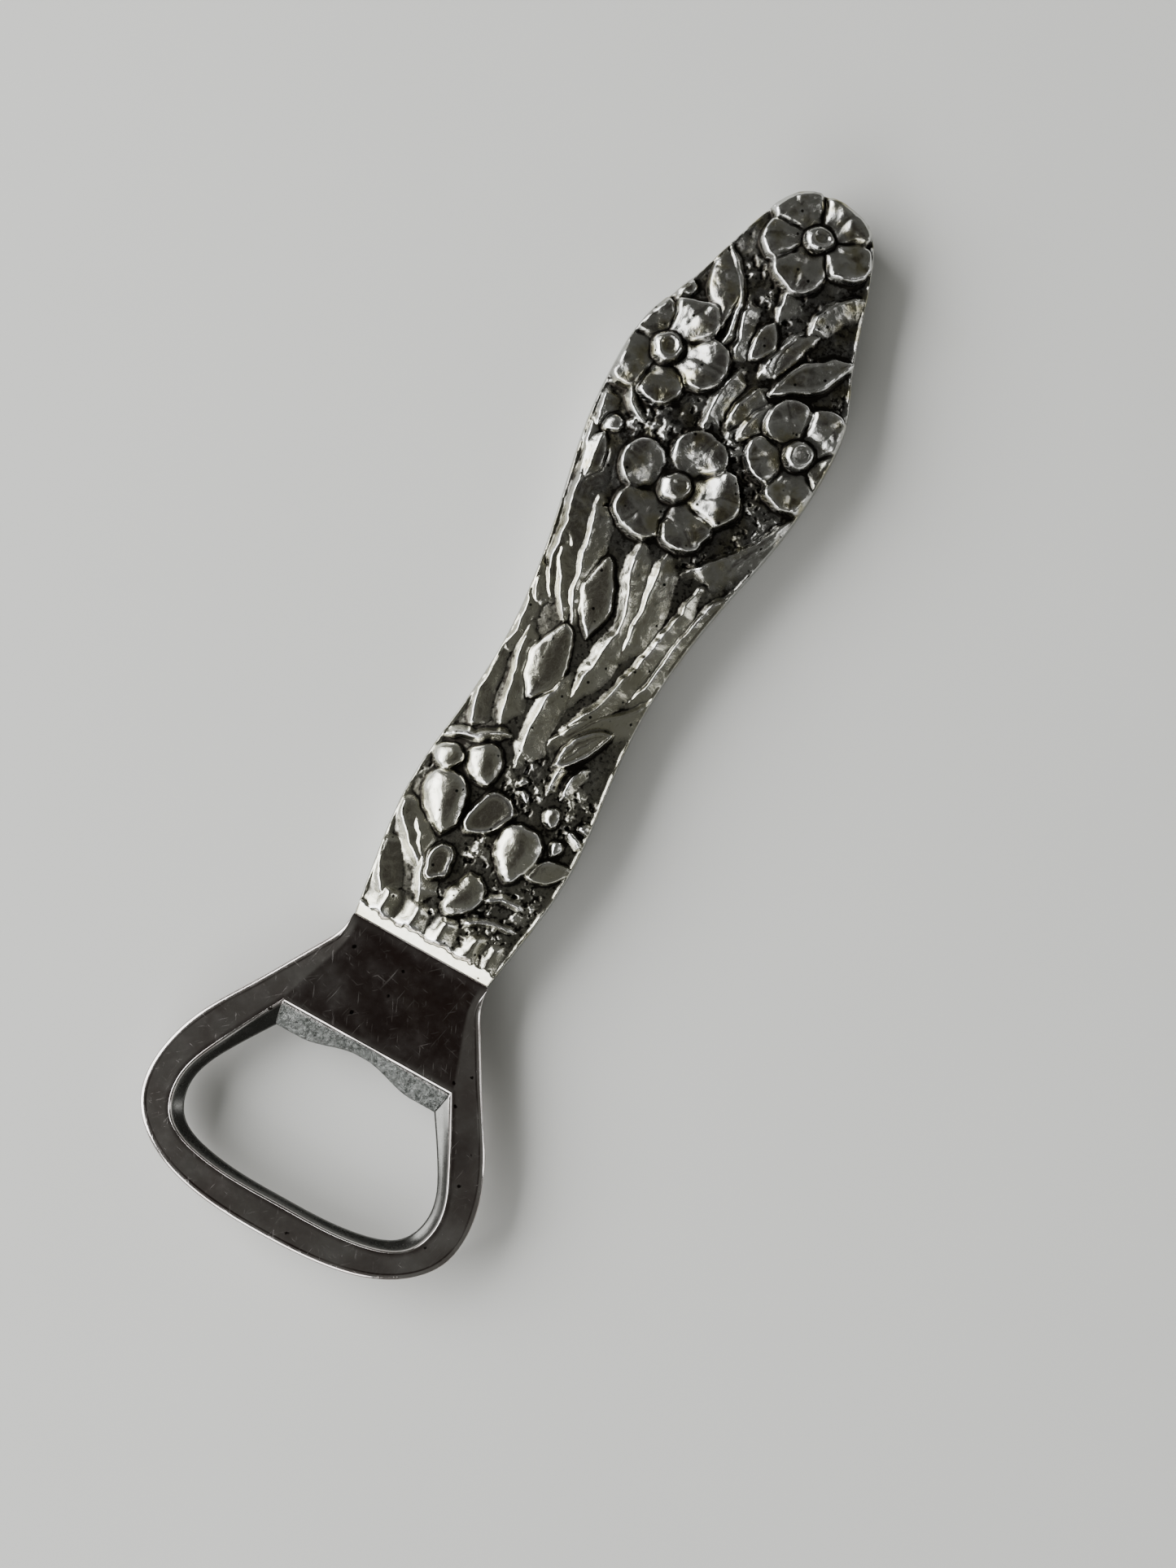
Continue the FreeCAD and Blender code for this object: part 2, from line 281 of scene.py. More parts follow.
# Each leaf: path of its middle, half-width, height, rim lift, vein height.
LEAVES = [
    ([(10.2, 49.6), (7.0, 46.2), (3.3, 42.0)], 1.75, 0.75, 0.22, 0.0),
    ([(-8.9, 54.6), (-7.0, 50.6), (-4.6, 45.8)], 1.5, 0.7, 0.0, 0.0),
    ([(5.2, 50.6), (3.8, 48.0), (2.8, 44.2)], 1.2, 0.55, 0.0, 0.0),
    ([(0.2, 49.6), (0.4, 47.0), (-0.4, 44.4)], 1.2, 0.6, 0.1, 0.0),
    ([(-3.1, 17.2), (-2.2, 12.6), (-0.7, 8.2)], 1.85, 0.9, 0.0, 0.0),
    ([(-3.6, 8.4), (-3.2, 4.6), (-3.3, -0.6)], 2.1, 0.62, 0.0, 0.0),
    ([(-10.2, 29.2), (-10.3, 27.0), (-10.0, 23.8)], 1.3, 0.7, 0.0, 0.2),
    ([(6.6, 0.2), (4.9, -2.6), (2.9, -5.8)], 1.35, 0.75, 0.3, 0.12),
    ([(9.9, -15.0), (7.8, -16.6), (5.6, -18.2)], 1.3, 0.6, 0.1, 0.0),
]
# Each blade: path from tip to foot, left and right widths, height. The left
# flank is steep and the right one falls away slowly, as overlapping leaves do.
BLADES = [
    ([(-8.3, 55.2), (-6.3, 52.3), (-4.5, 49.5), (-3.5, 46.6), (-3.5, 43.6)], 0.8, 0.7, 0.75),
    ([(-3.7, 50.4), (-2.7, 48.1), (-2.1, 45.6), (-2.2, 43.2)], 0.6, 1.6, 0.65),
    ([(3.2, 49.8), (2.2, 47.1), (1.5, 43.7)], 0.7, 2.0, 0.7),
    ([(-0.4, 43.1), (-1.3, 39.9), (-1.1, 35.2)], 0.8, 1.8, 0.75),
    ([(2.6, 42.5), (1.3, 39.9), (1.0, 37.0)], 0.6, 2.0, 0.6),
    ([(4.6, 41.4), (3.2, 39.0), (2.6, 36.0)], 0.6, 2.0, 0.5),
    ([(7.6, 56.6), (5.2, 54.3), (4.1, 51.4), (4.3, 49.8)], 0.6, 2.2, 0.6),
    ([(-3.2, 56.0), (-1.3, 54.2), (0.4, 50.0)], 0.6, 2.0, 0.6),
    ([(-11.9, 50.2), (-10.4, 46.8), (-9.8, 45.0)], 0.6, 1.6, 0.5),
    ([(-13.2, 34.6), (-10.6, 35.3), (-9.5, 33.6), (-6.8, 32.2)], 0.6, 0.9, 0.7),
    ([(-12.6, 33.8), (-12.0, 31.6), (-11.6, 29.4)], 0.5, 1.6, 0.6),
    ([(-12.2, 29.8), (-10.9, 25.0), (-9.6, 20.0), (-8.6, 14.6), (-7.0, 10.8)], 0.7, 3.2, 0.75),
    ([(-7.3, 22.4), (-6.3, 18.6), (-5.4, 14.0), (-3.4, 9.2)], 0.6, 2.4, 0.75),
    ([(-9.0, 16.8), (-7.1, 13.5), (-4.4, 8.9)], 0.6, 2.0, 0.7),
    ([(-9.6, 13.4), (-8.6, 10.6), (-7.4, 8.6)], 0.6, 1.6, 0.65),
    ([(-0.9, 20.8), (-0.2, 17.2), (1.2, 13.3), (1.8, 10.5), (1.0, 5.4), (0.8, 1.2)], 1.0, 2.2, 0.72),
    ([(2.2, 20.4), (2.5, 16.8), (3.1, 13.0), (3.2, 8.2)], 0.7, 2.5, 0.66),
    ([(12.4, 30.6), (9.2, 24.5), (5.4, 20.2)], 0.7, 3.2, 0.6),
    ([(-9.0, 9.8), (-8.3, 7.4), (-8.1, 5.0), (-8.5, 2.4)], 0.9, 1.5, 0.6),
    ([(-7.0, 6.6), (-6.3, 3.2), (-5.7, 0.2), (-4.6, -4.6)], 0.6, 2.2, 0.66),
    ([(-9.2, 4.4), (-8.8, 0.6), (-8.0, -3.6), (-6.9, -7.0)], 0.6, 1.8, 0.6),
    ([(-0.8, 3.4), (-1.4, 0.0), (-1.3, -4.1), (-0.9, -7.4)], 0.9, 2.5, 0.7),
    ([(10.6, 20.5), (8.9, 15.5), (8.0, 12.2), (7.6, 8.1), (6.6, 4.4)], 0.55, 2.6, 0.55),
    ([(9.4, 8.4), (8.6, 5.6), (6.1, 1.9), (3.6, -0.2), (1.4, -3.9)], 0.6, 2.6, 0.58),
    ([(7.4, 18.6), (6.3, 12.6), (5.7, 9.7), (4.9, 5.4), (3.6, 1.2), (1.8, -1.8)], 0.7, 1.9, 0.66),
    ([(3.9, -5.0), (3.3, -6.8), (3.2, -8.8)], 0.45, 0.9, 0.65),
    ([(6.4, -4.8), (5.4, -6.6), (5.0, -8.6)], 0.45, 0.9, 0.6),
    ([(-9.6, -8.7), (-7.8, -7.5), (-6.2, -7.3), (-4.6, -6.2), (-2.7, -5.8)], 0.7, 0.8, 0.8),
    ([(-10.0, -16.6), (-8.6, -18.8), (-6.8, -20.7), (-4.7, -22.9)], 1.1, 2.4, 0.8),
    ([(-7.9, -17.6), (-5.8, -20.4), (-4.4, -22.6), (-2.9, -26.2)], 0.9, 2.0, 0.7),
    ([(-9.7, -20.8), (-8.8, -23.4), (-7.6, -26.0), (-6.6, -27.6)], 1.1, 2.4, 0.7),
    ([(2.9, -22.3), (5.2, -21.4), (7.6, -21.2)], 0.45, 0.6, 0.6),
    ([(2.4, -25.6), (5.0, -24.4), (7.9, -24.2)], 0.5, 0.8, 0.55),
    ([(9.9, -12.6), (8.8, -12.2), (7.6, -11.6)], 0.5, 0.7, 0.6),
]
# Each raised vein on the leaf plates: path, height, half-width.
VEINS = [
    ([(12.1, 29.0), (10.6, 25.2), (9.2, 21.4)], 0.22, 0.35),
]

# The row of fluted leaf feet above the shoulder: x, half-width, height.
LEAF_FEET = [
    (-6.1, 0.9, 0.95), (-2.5, 0.8, 0.9), (1.1, 0.8, 0.95), (4.7, 0.75, 0.85), (7.2, 0.6, 0.6),
]
LEAF_FOOT_HIGH_Y = -25.6
LEAF_FOOT_LOW_Y = -29.3

# Coarse pitted background: centre and radius of each zone.
PITTED = [
    (0.5, 52.0, 3.0), (-3.5, 34.5, 3.0), (3.0, 35.0, 3.0), (6.0, 31.5, 2.2), (-5.5, 21.0, 1.6),
    (-7.0, 32.5, 2.0), (4.5, 22.0, 1.6), (11.5, 44.5, 1.6), (1.6, -9.2, 2.6), (7.0, -9.6, 2.6),
    (8.6, 29.6, 2.4), (-4.6, 53.6, 1.6), (5.6, 46.6, 1.5), (9.6, 25.4, 1.8),
    (0.6, -18.2, 1.8), (6.0, -21.2, 2.6), (5.0, -25.6, 2.6), (-1.4, -25.4, 1.6), (-9.0, -12.6, 1.2),
]
# From here towards the head the casting is paler, rubbed by the hand.
HANDLED_Y = 24.0
HANDLED_FADE = 12.0

# Half the width of the steep wall round a motif laid over the ground.
WALL = 0.2
# The smooth ramp between the relief and the shoulder.
RAMP_LENGTH = 1.45
RAMP_SLOPE = 0.62
# The relief's border lies this far inside the handle's outline.
RIM_INSET = 0.35
# Cells across and along the handle.
FRONT_GRID = (150, 580)
BACK_GRID = (60, 240)
PATH_STEPS = 24


def lay_over(height, shape, distance):
    """Puts a shape over the height where the signed distance is negative, with a wall and a moat."""
    cover = smooth(0.5 - distance / (2 * WALL))
    moat = 0.22 * np.exp(-(np.maximum(distance, 0) / 0.3) ** 2) * (1 - cover)
    return (height - moat) * (1 - cover) + shape * cover


def add_blades(x, y, height):
    """Long overlapping leaves with raised crests. Each cuts a groove into what its right flank covers."""
    for path, left, right, top in BLADES:
        distance, side, along = path_distance(x, y, spline_through(path, PATH_STEPS))
        taper = 0.35 + 0.65 * smooth(along / 0.15) * smooth((1 - along) / 0.15)
        flank = np.where(side > 0, left, right) * taper
        share = np.clip(distance / flank, 0, 1)
        fall = np.where(side > 0, smooth(share) * 0.4 + share * 0.6, share ** 1.2)
        crest = 0.10 * taper * np.exp(-(distance / 0.3) ** 2)
        profile = np.where(distance < flank, top * taper * (1 - fall) + crest, -1)
        groove = 0.4 * top * taper * np.exp(-((distance - left * 1.25) / (0.35 * left)) ** 2)
        height = height - np.where(side < 0, groove, 0)
        height = np.maximum(height, profile)
    return height


def add_veins(x, y, height):
    """Thin lines that stand up from the height."""
    for path, top, half in VEINS:
        distance, _, along = path_distance(x, y, spline_through(path, PATH_STEPS))
        taper = smooth(along / 0.12) * smooth((1 - along) / 0.12)
        height = height + top * taper * np.exp(-(distance / half) ** 2)
    return height


def add_leaves(x, y, height):
    """Leaf plates, pointed at both ends, some with a raised rim or a vein."""
    for path, half, top, rim, vein in LEAVES:
        distance, _, along = path_distance(x, y, spline_through(path, PATH_STEPS))
        width = half * np.sin(math.pi * along) ** 0.7
        signed = distance - np.maximum(width, 0.05)
        inner = np.clip(1 + signed / half, 0, 1)
        shape = top - 0.25 * inner ** 3 + rim * np.exp(-((inner - 0.78) / 0.16) ** 2)
        shape = shape + vein * np.exp(-(distance / 0.28) ** 2)
        height = lay_over(height, shape, signed)
    return height


def add_oval(x, y, height, centre, long, wide, lean, top, cupped):
    """A bud, narrower towards its lower end, domed or slightly cupped."""
    turn = math.radians(lean)
    dx = x - centre[0]
    dy = y - centre[1]
    along = dx * math.sin(turn) + dy * math.cos(turn)
    across = dx * math.cos(turn) - dy * math.sin(turn)
    taper = wide * (1 + 0.3 * np.clip(along / long, -1, 1))
    radius = np.hypot(along / long, across / taper)
    signed = (radius - 1) * min(long, wide)
    if cupped:
        shape = top * (0.9 + 0.1 * smooth((radius - 0.55) / 0.3)) - 0.1 * smooth((radius - 0.88) / 0.12)
    else:
        flank = np.clip(-across / taper, 0, 1)
        shape = top * (0.35 + 0.65 * np.clip(1 - radius ** 3, 0, 1) ** 0.6) - 0.5 * flank ** 1.5
    return lay_over(height, shape, signed)


def add_flower(x, y, height, centre, circle, long, wide, angles, boss):
    """Creased petals round a dimpled boss."""
    dx = x - centre[0]
    dy = y - centre[1]
    reach = np.hypot(dx, dy)
    nearest = np.full(x.shape, 1e9)
    second = np.full(x.shape, 1e9)
    shape = np.zeros(x.shape)
    rim_drop = 0.20 + 0.16 * rough_noise(x, y, 1.8, 81, 2)
    for angle, size in zip(angles, PETAL_SIZES):
        turn = math.radians(angle)
        out = dx * math.cos(turn) + dy * math.sin(turn) - circle
        across = dy * math.cos(turn) - dx * math.sin(turn)
        radius = np.hypot(out / long, across / wide) / size
        petal = (radius - 1) * min(long, wide)
        rise = smooth((out / long + 0.85) / 1.2)
        dish = 0.1 + 1.15 * rise - rim_drop * smooth((radius - 0.86) / 0.14)
        dish = dish - 0.14 * np.exp(-(across / 0.4) ** 2) * rise
        closer = petal < nearest
        shape = np.where(closer, dish, shape)
        second = np.where(closer, nearest, np.minimum(second, petal))
        nearest = np.where(closer, petal, nearest)
    shape = shape - 0.45 * np.exp(-((second - nearest) / 0.5) ** 2) * smooth((reach - boss) / 1.5)
    nearest = np.minimum(nearest, reach - circle * 0.62)
    height = lay_over(height, shape, nearest)
    ball = 0.35 + 1.15 * np.sqrt(np.clip(1 - (reach / boss) ** 2, 0, 1))
    dimple = np.hypot(dx - 0.25, dy - 0.15) / boss
    ball = ball - 0.5 * smooth((0.62 - dimple) / 0.34)
    return lay_over(height, ball, reach - boss)


def pitted_zone(x, y):
    """1 where the casting's background is coarse and pitted, 0 where it is smooth leaf."""
    zone = np.zeros(x.shape)
    for cx, cy, radius in PITTED:
        zone = np.maximum(zone, smooth(1.6 - np.hypot(x - cx, y - cy) / radius))
    return zone


def add_leaf_feet(x, y, height):
    """Short ribs that widen down to the ramp."""
    down = np.clip((LEAF_FOOT_HIGH_Y - y) / (LEAF_FOOT_HIGH_Y - LEAF_FOOT_LOW_Y), 0, 1.2)
    for foot_x, half, top in LEAF_FEET:
        spread = half * (1.0 + 0.7 * down ** 2)
        rib = top * np.exp(-((x - foot_x) / spread) ** 2) * smooth(down / 0.3)
        height = np.maximum(height, rib - 0.05)
    return height


def wander(x, y, seed):
    """How far the ornament's lines stray from their paths, in mm."""
    slow = 0.30 * lattice_noise(x, y, 2.8, seed)
    return slow + 0.15 * lattice_noise(x, y, 1.3, seed + 60) + 0.07 * lattice_noise(x, y, 0.6, seed + 1)


def relief_height(x, y, coarse):
    """Height of the ornament above the handle's ground, in mm. coarse is the pitted zone."""
    fold = 1 - np.abs(rough_noise(x, y, 2.6, 13, 2))
    height = -0.2 + 0.10 * rough_noise(x, y, 2.4, 11) + 0.22 * fold ** 4 * (0.15 + 0.85 * coarse)
    height = height + 0.34 * rough_noise(x, y, 0.9, 15) * coarse
    wander_x = x + wander(x, y, 21)
    wander_y = y + wander(x, y, 24)
    height = add_blades(wander_x, wander_y, height)
    height = add_veins(wander_x, wander_y, height)
    height = add_leaves(wander_x, wander_y, height)
    for bud in BUDS:
        height = add_oval(wander_x, wander_y, height, *bud)
    for flower in FLOWERS:
        height = add_flower(wander_x, wander_y, height, *flower)
    return add_leaf_feet(wander_x, y, height)


def handled_zone(y):
    """1 near the head, where the hand has rubbed the casting, 0 towards the tip."""
    return smooth((HANDLED_Y - y) / HANDLED_FADE)


def front_surface(x, y):
    """Top surface of the handle front, its relief, its share of ramp, and distance to the outline."""
    edge, _, _ = path_distance(x, y, GRIP_LOOP[::6])
    ground = RIM_Z + (GROUND_Z - RIM_Z) * smooth(edge / 6.0) ** 0.7
    coarse = pitted_zone(x, y)
    relief = relief_height(x, y, coarse)
    cast = 1 - 0.6 * handled_zone(y)
    relief = relief + 0.10 * cast * lattice_noise(x, y, 2.7, 33)
    relief = relief + 0.06 * cast * rough_noise(x, y, 1.0, 31)
    relief = relief + 0.05 * coarse * rough_noise(x, y, 0.7, 35)
    pits = np.clip(rough_noise(x, y, 0.5, 41, 2) - 0.30, 0, 1)
    relief = relief - 0.7 * pits * smooth((0.35 - relief) / 0.35) * coarse
    edge_fade = 0.3 + 0.7 * smooth(edge / 0.8)
    rim = 0.28 * np.exp(-((edge - 0.22) / 0.22) ** 2) * smooth(0.8 + rough_noise(x, y, 1.6, 65))
    top = ground + relief * edge_fade + rim
    slope = HEAD_TOP_Z - SKIN_GAP + (y - SHOULDER_Y) * RAMP_SLOPE
    ragged = SHOULDER_Y + RAMP_LENGTH + 0.35 * rough_noise(x, y * 0.3, 0.9, 51)
    on_ramp = 1 - smooth((y - ragged) / 0.3 + 0.5)
    top = top * (1 - on_ramp) + slope * on_ramp
    top = np.minimum(top, RELIEF_TOP_Z - SKIN_GAP)
    return top, relief * edge_fade, on_ramp, edge


def blur(grid, passes):
    """Evens a grid out with its four neighbours, the given number of times."""
    for _ in range(passes):
        grid = np.pad(grid, 1, mode="edge")
        grid = (grid[:-2, 1:-1] + grid[2:, 1:-1] + grid[1:-1, :-2] + grid[1:-1, 2:]
                + 2 * grid[1:-1, 1:-1]) / 6
    return grid


# --- meshes -------------------------------------------------------------------
def grid_faces(rows, cols):
    """Faces over a grid of vertices that are numbered row by row."""
    i = np.arange(rows - 1)[:, None] * cols + np.arange(cols - 1)[None, :]
    return np.stack([i, i + 1, i + cols + 1, i + cols], -1).reshape(-1, 4).tolist()


def ring_faces(upper, lower):
    """Faces between two closed loops of vertex numbers of equal length."""
    return [
        (upper[i], lower[i], lower[(i + 1) % len(lower)], upper[(i + 1) % len(upper)])
        for i in range(len(upper))
    ]


def make_piece(name, points_mm, faces, masks):
    """A smooth-shaded mesh object. Each mask becomes a vertex attribute for the materials."""
    mesh = bpy.data.meshes.new(name)
    mesh.from_pydata((np.asarray(points_mm) * MM).tolist(), [], faces)
    mesh.validate()
    mesh.shade_smooth()
    for key, values in masks.items():
        layer = mesh.attributes.new(key, "FLOAT", "POINT")
        layer.data.foreach_set("value", np.asarray(values, np.float32))
    piece = bpy.data.objects.new(name, mesh)
    bpy.context.scene.collection.objects.link(piece)
    return piece


def add_wall(points, faces, masks, first_loop, first_z, patch_size, levels):
    """Adds rings from a patch's border to the seam. Each level is (inset, share of the way there)."""
    loop = first_loop
    for inset, share in levels:
        px, py = grip_patch(*patch_size, inset)
        ring_x = edge_loop(px)
        ring_y = edge_loop(py)
        ring_z = first_z * (1 - share) + SEAM_Z * share
        start = len(points)
        points.extend(zip(ring_x, ring_y, ring_z))
        ring = list(range(start, start + len(ring_x)))
        faces.extend(ring_faces(loop, ring))
        for key in masks:
            masks[key].extend([0.0] * len(ring))
        loop = ring
    return loop


def build_front():
    """The relief half: its ornamented top, its side down to the seam, and a flat cap there."""
    x, y = grip_patch(*FRONT_GRID, RIM_INSET)
    top, relief, on_ramp, edge = front_surface(x, y)
    hollow = blur(top, 14) - top
    patchy = 0.25 + 0.75 * smooth(0.5 + 0.8 * rough_noise(x, y, 2.2, 91))
    recess = smooth(hollow / 0.28) * 0.75 + smooth((0.30 - relief) / 0.45) * 0.75
    masks = {
        "recess": list(np.clip(recess * (1 - on_ramp) * smooth(edge / 0.9), 0, 1).ravel()),
        "ramp": list(on_ramp.ravel()),
        "worn": list(np.clip(-hollow / 0.18 * patchy, 0, 1).ravel()),
        "handled": list(handled_zone(y).ravel()),
    }
    points = list(zip(x.ravel(), y.ravel(), top.ravel()))
    faces = grid_faces(*x.shape)
    numbers = np.arange(x.size).reshape(x.shape)
    border = edge_loop(numbers).tolist()
    nick = np.clip(rough_noise(edge_loop(x), edge_loop(y), 2.2, 61) - 0.75, 0, 1)
    levels = [(0.27, 0.04), (0.19, 0.13), (0.14, 0.3), (0.09, 0.6), (0.0, 0.9), (0.06, 1.0)]
    loop = add_wall(points, faces, masks, border, edge_loop(top) - 0.3 * nick, FRONT_GRID, levels)
    faces.append(loop)
    return make_piece("relief_front", points, faces, masks)


def build_back():
    """The plain half: its flat base, its rounded side up to the seam, and a flat cap there."""
    x, y = grip_patch(*BACK_GRID, 1.5)
    base = np.zeros(x.shape) + SKIN_GAP / 4
    points = list(zip(x.ravel(), y.ravel(), base.ravel()))
    faces = [tuple(reversed(f)) for f in grid_faces(*x.shape)]
    numbers = np.arange(x.size).reshape(x.shape)
    border = edge_loop(numbers).tolist()
    rings = []
    levels = [
        (1.1, 0.015), (0.75, 0.06), (0.45, 0.15), (0.25, 0.28), (0.1, 0.55), (0.0, 0.93), (0.06, 1.0),
    ]
    loop = add_wall(points, rings, {}, border, edge_loop(base), BACK_GRID, levels)
    faces += [tuple(reversed(f)) for f in rings]
    faces.append(list(reversed(loop)))
    return make_piece("plain_back", points, faces, {})


# --- head -----------------------------------------------------------------------
def both_halves(right_half):
    """A half outline that ends on the centre line, and its mirror image, as one list."""
    return right_half + [(-x, y) for x, y in reversed(right_half[:-1])]


def angle_of(point):
    """Direction of a point from the ring's centre."""
    return math.atan2(point[1] - RING_CENTRE[1], point[0] - RING_CENTRE[0])


def polar_radius(loop, angles):
    """Distance from the ring's centre to a loop at each angle."""
    dx = loop[:, 0] - RING_CENTRE[0]
    dy = loop[:, 1] - RING_CENTRE[1]
    theta = np.arctan2(dy, dx) % (2 * math.pi)
    order = np.argsort(theta)
    radius = np.hypot(dx, dy)[order]
    theta = theta[order]
    return np.interp(angles, theta, radius, period=2 * math.pi)


def closed_loop(right_half):
    """The opening's loop: a spline through both halves, closed by a straight line along the lip."""
    curve = spline_through(both_halves(right_half), OPENING_STEPS)
    t = np.linspace(0, 1, 300)[:, None]
    return np.vstack([curve, curve[-1] * (1 - t) + curve[0] * t])


def head_angles():
    """Angles round the ring, with each corner among them, and the right shoulder's own angle."""
    shoulder = angle_of(HEAD_OUTLINE[0])
    lip = angle_of(LIP_END)
    stops = [lip, shoulder, math.pi - shoulder, math.pi - lip, lip + 2 * math.pi]
    counts = [70, 80, 70, 560]
    parts = [np.linspace(a, b, n, endpoint=False) for a, b, n in zip(stops, stops[1:], counts)]
    return np.concatenate(parts), shoulder


def polar_points(angles, radius):
    """Points at these angles and distances from the ring's centre."""
    x = RING_CENTRE[0] + radius * np.cos(angles)
    y = RING_CENTRE[1] + radius * np.sin(angles)
    return np.stack([x, y], 1)


def tooth_points(angles, inner):
    """The opening's loop at mid-thickness, paired point by point with its loop on the face."""
    curve = spline_through(both_halves([TOOTH_END] + MIDDLE_LOOP), OPENING_STEPS)
    lip_angle = angle_of(LIP_END)
    tooth_angle = angle_of(TOOTH_END)
    past = np.abs((angles - math.pi / 2 + math.pi) % (2 * math.pi) - math.pi) - (math.pi / 2 - lip_angle)
    lean = np.where(np.cos(angles) > 0, -1, 1) * (lip_angle - tooth_angle)
    shifted = angles + lean * (1 - smooth(past / LEAN_FADE))
    ring = polar_points(shifted, polar_radius(curve, shifted))
    x = inner[:, 0] * TOOTH_END[0] / LIP_END[0]
    bow = smooth((np.abs(x) - TOOTH_FLAT) / TOOTH_RUN)
    lip = np.stack([x, TOOTH_MID_Y + (TOOTH_END[1] - TOOTH_MID_Y) * bow], 1)
    on_lip = (past <= 1e-6)[:, None]
    return np.where(on_lip, lip, ring)


def head_outline():
    """The neck and ring's outline, from the right shoulder round the end to the left shoulder."""
    half = HEAD_OUTLINE + [(0.0, HEAD_END_Y + SKIN_GAP)]
    outline = spline_through(both_halves(half), HEAD_STEPS)
    outline[:, 0] *= (head_high[0] - SKIN_GAP) / np.abs(outline[:, 0]).max()
    return outline


def outer_normals(outer, angles, shoulder):
    """Outward directions round the outline, which shrink to nothing at the shoulder."""
    tangent = np.roll(outer, -1, 0) - np.roll(outer, 1, 0)
    normal = np.stack([tangent[:, 1], -tangent[:, 0]], 1)
    normal /= np.hypot(*normal.T)[:, None]
    from_shoulder = np.abs(outer[:, 1] - SHOULDER_Y)
    normal *= smooth(from_shoulder / SHOULDER_FADE)[:, None]
    normal[(angles >= shoulder - 1e-6) & (angles <= math.pi - shoulder + 1e-6)] = 0
    return normal


def face_drop(xy, outline):
    """How far the bevelled margin of the head lies below its flat face."""
    out, _, _ = path_distance(xy[:, 0], xy[:, 1], outline[::8])
    margin = np.interp(-xy[:, 1], BEVEL_Y, BEVEL_WIDTH)
    slope = np.interp(-xy[:, 1], BEVEL_Y, BEVEL_SLOPE)
    return slope * np.clip(margin - out, 0, None) * smooth((SHOULDER_Y - xy[:, 1]) / 1.5)


def face_height(xy, outline, opening):
    """Height of the head's face: bevelled, eased at the opening, dipped below the shoulder, wavy."""
    into, _, _ = path_distance(xy[:, 0], xy[:, 1], opening[::8])
    drop = face_drop(xy, outline) + 0.03 * np.clip(1 - into / 0.5, 0, 1) ** 2
    sag = 0.05 * smooth((xy[:, 1] + 34.5) / 4.0) * smooth((SHOULDER_Y - xy[:, 1]) / 1.2)
    wave = FACE_WAVE * lattice_noise(xy[:, 0], xy[:, 1], 4.0, 71)
    return HEAD_TOP_Z - drop - sag + wave - FACE_WAVE


# A section is one loop round the head: its points, their heights, and a mask that
# is 1 on the lip, -1 on the opening's other walls and 0 elsewhere.
def outer_sections(outer, normal, rim_drop):
    """The outer wall from mid-thickness up, and its rolled upper edge."""
    sections = []
    for z in OUTER_WALL_HEIGHTS:
        draft = WALL_DRAFT * z
        sections.append((outer - normal * draft, np.full(len(outer), HEAD_MID_Z + z), 0))
    for turn in np.linspace(0, math.pi / 2, 10)[:-1]:
        inset = WALL_LEAN + EDGE_WIDE * (1 - math.cos(turn))
        z = HEAD_TOP_Z - rim_drop - EDGE_DEEP * (1 - math.sin(turn))
        sections.append((outer - normal * inset, z, 0))
    return sections


def face_sections(rim, inner, outline, opening):
    """The face from its rim to the opening, closest together at both ends."""
    sections = []
    for share in 0.5 - 0.5 * np.cos(np.linspace(0, math.pi, FACE_STEPS + 1)):
        xy = rim * (1 - share) + inner * share
        sections.append((xy, face_height(xy, outline, opening), 0))
    return sections


def opening_sections(inner, tooth):
    """The opening's eased edge, then its drafted wall or the lip's slope, to mid-thickness."""
    lip = np.abs(inner[:, 1] - LIP_END[1]) < 0.05
    reach = np.hypot(*(tooth - inner).T)
    sections = []
    for run, ring_drop, lip_drop in EASED_EDGE:
        drop = np.where(lip, lip_drop, ring_drop)
        sections.append((inner + (tooth - inner) * (run / reach)[:, None], HEAD_TOP_Z - drop, 0))
    for (wall_share, wall_drop), (lip_share, lip_drop) in zip(RING_WALL, LIP_WALL):
        share = np.where(lip, lip_share, wall_share)[:, None]
        drop = np.where(lip, lip_drop, wall_drop)
        mask = np.where(lip, 1.0, -1.0)
        sections.append((inner * (1 - share) + tooth * share, HEAD_TOP_Z - drop, mask))
    return sections


def join_sections(upper):
    """Points, masks and faces of the closed head: its upper half, and the same mirrored below."""
    lower = [(xy, 2 * HEAD_MID_Z - z, mask) for xy, z, mask in reversed(upper[1:-1])]
    rows = upper + lower
    count = len(upper[0][0])
    points = np.concatenate([np.column_stack([xy, z]) for xy, z, _ in rows])
    mask = np.concatenate([np.zeros(count) + mask for _, _, mask in rows])
    faces = []
    for r in range(len(rows)):
        here = np.arange(count) + r * count
        there = np.arange(count) + ((r + 1) % len(rows)) * count
        faces += ring_faces(there.tolist(), here.tolist())
    return points, mask, faces


def build_head():
    """The neck and ring as one closed skin, made of loops round the opening."""
    angles, shoulder = head_angles()
    outline = head_outline()
    across = np.linspace(-1, 1, 200) * outline[0, 0]
    shoulder_line = np.stack([across, np.full(across.shape, SHOULDER_Y)], 1)
    outer = polar_points(angles, polar_radius(np.vstack([outline, shoulder_line]), angles))
    opening = closed_loop([LIP_END] + FACE_LOOP)
    inner = polar_points(angles, polar_radius(opening, angles))
    normal = outer_normals(outer, angles, shoulder)
    rim = outer - normal * (WALL_LEAN + EDGE_WIDE)

    upper = outer_sections(outer, normal, face_drop(rim, outline))
    upper += face_sections(rim, inner, outline, opening)
    upper += opening_sections(inner, tooth_points(angles, inner))
    upper = [(xy, np.minimum(z, HEAD_TOP_Z), mask) for xy, z, mask in upper]
    points, mask, faces = join_sections(upper)
    masks = {"lip": np.clip(mask, 0, 1), "wall": np.clip(-mask, 0, 1)}
    return make_piece("polished_head", points, faces, masks)


